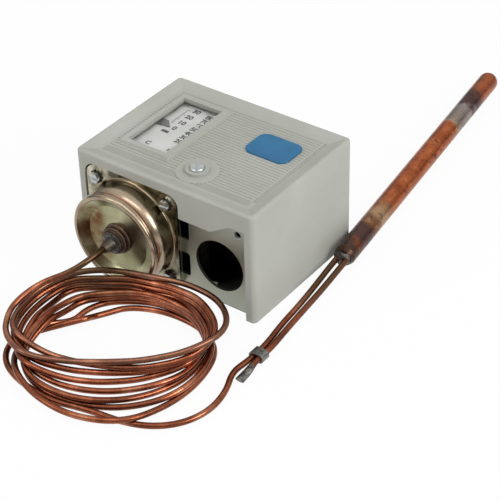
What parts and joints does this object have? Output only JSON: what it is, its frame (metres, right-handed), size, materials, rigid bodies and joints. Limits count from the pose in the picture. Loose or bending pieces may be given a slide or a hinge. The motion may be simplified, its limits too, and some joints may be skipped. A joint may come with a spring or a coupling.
{
  "type": "capillary thermostat",
  "caption": "Remote-bulb thermostat: ribbed cover with a dial window, square sheet case, bellows capsule on the front, coiled copper capillary and a long sensing bulb",
  "frame": {"origin": "Centre of the case's back on the mounting surface, under the middle of the cover's outline.", "axes": "+Z leaves the wall through the cover's face, -Y is the side where the bellows capsule and the capillary leave, +X is the side of the conduit hole."},
  "size_m": [0.1015, 0.2856, 0.0498],
  "materials": {
    "cover_grey": "fine grain, silver grey",
    "window_clear": "clear, slightly scratched",
    "badge_blue": "glossy, plain",
    "zinc_steel": "bright zinc plate",
    "case_steel": "plated sheet, green-grey cast",
    "cup_plate": "yellow-bronze passivated",
    "solder": "dull solder and flux stain",
    "dark_steel": "blackened",
    "bronze": "plain",
    "copper": "tarnished, brown",
    "bakelite": "moulded",
    "dial_plate": "satin, printed",
    "pointer_grey": "satin",
    "contact_silver": "bright"
  },
  "bodies": {
    "housing": {"cover": "cover_grey", "window_pane": "window_clear", "badge": "badge_blue", "cover_screw": "zinc_steel", "cover_post": "zinc_steel", "case": "case_steel", "capsule_cup": "cup_plate", "bellows_head": "case_steel", "bellows": "bronze", "capillary_boss": "solder", "flange_screws": "zinc_steel", "lock_washers": "dark_steel", "lever_stud": "zinc_steel", "lever_clip": "dark_steel", "range_spring": "dark_steel", "differential_spring": "dark_steel", "dial_bridge": "zinc_steel", "dial_scale": "dial_plate", "switch_base": "bakelite", "common_terminal": "bronze", "open_terminal": "bronze", "closed_terminal": "bronze", "terminal_screws": "zinc_steel", "ground_screw": "bronze", "capillary_lead": "copper", "capillary_coil": "copper", "capillary_tail": "copper", "charging_tube": "copper", "tube_clip": "zinc_steel", "sensing_bulb": "copper"},
    "range_screw": {"range_screw": "zinc_steel"},
    "range_carriage": {"range_pointer": "pointer_grey"},
    "differential_screw": {"differential_screw": "zinc_steel"},
    "differential_carriage": {"differential_nut": "zinc_steel"},
    "lever": {"main_lever": "zinc_steel"},
    "rod": {"push_rod": "zinc_steel"},
    "blade": {"contact_blade": "contact_silver"}
  },
  "joints": [
    {"name": "range_carriage_slide", "type": "slide", "parent": "housing", "child": "range_carriage", "axis": [0, 1, 0], "range_m": [-0.005, 0.013], "deforming": ["range_spring"]},
    {"name": "range_screw_turn", "type": "hinge", "parent": "housing", "child": "range_screw", "pos_m": [-0.01575, 0.0264, 0.0222], "axis": [0, 1, 0], "range_deg": [-5855, 2255]},
    {"name": "differential_nut_slide", "type": "slide", "parent": "housing", "child": "differential_carriage", "axis": [0, 1, 0], "range_m": [-0.004, 0.004], "deforming": ["differential_spring"]},
    {"name": "differential_screw_turn", "type": "hinge", "parent": "housing", "child": "differential_screw", "pos_m": [-0.00025, 0.0264, 0.0222], "axis": [0, 1, 0], "range_deg": [-2062, 2062]},
    {"name": "main_lever_tilt", "type": "hinge", "parent": "housing", "child": "lever", "pos_m": [-0.03425, -0.0116, 0.0222], "axis": [0, 0, 1], "range_deg": [-0.35, 0.7], "stiffness_Nm_per_rad": 1.5},
    {"name": "push_rod_slide", "type": "slide", "parent": "housing", "child": "rod", "axis": [0, 1, 0], "range_m": [-0.000114, 0.000227], "deforming": ["bellows"]},
    {"name": "contact_blade_flip", "type": "hinge", "parent": "housing", "child": "blade", "pos_m": [0.03425, -0.00195, 0.0222], "axis": [0, 0, 1], "range_deg": [-1.37, 0.69]}
  ],
  "couplings": [
    {"joint": "range_screw_turn", "follows": "range_carriage_slide", "rad_per_m": -7854},
    {"joint": "differential_screw_turn", "follows": "differential_nut_slide", "rad_per_m": -8976},
    {"joint": "push_rod_slide", "follows": "main_lever_tilt", "m_per_rad": 0.0185},
    {"joint": "contact_blade_flip", "follows": "main_lever_tilt", "ratio": -1.95}
  ]
}
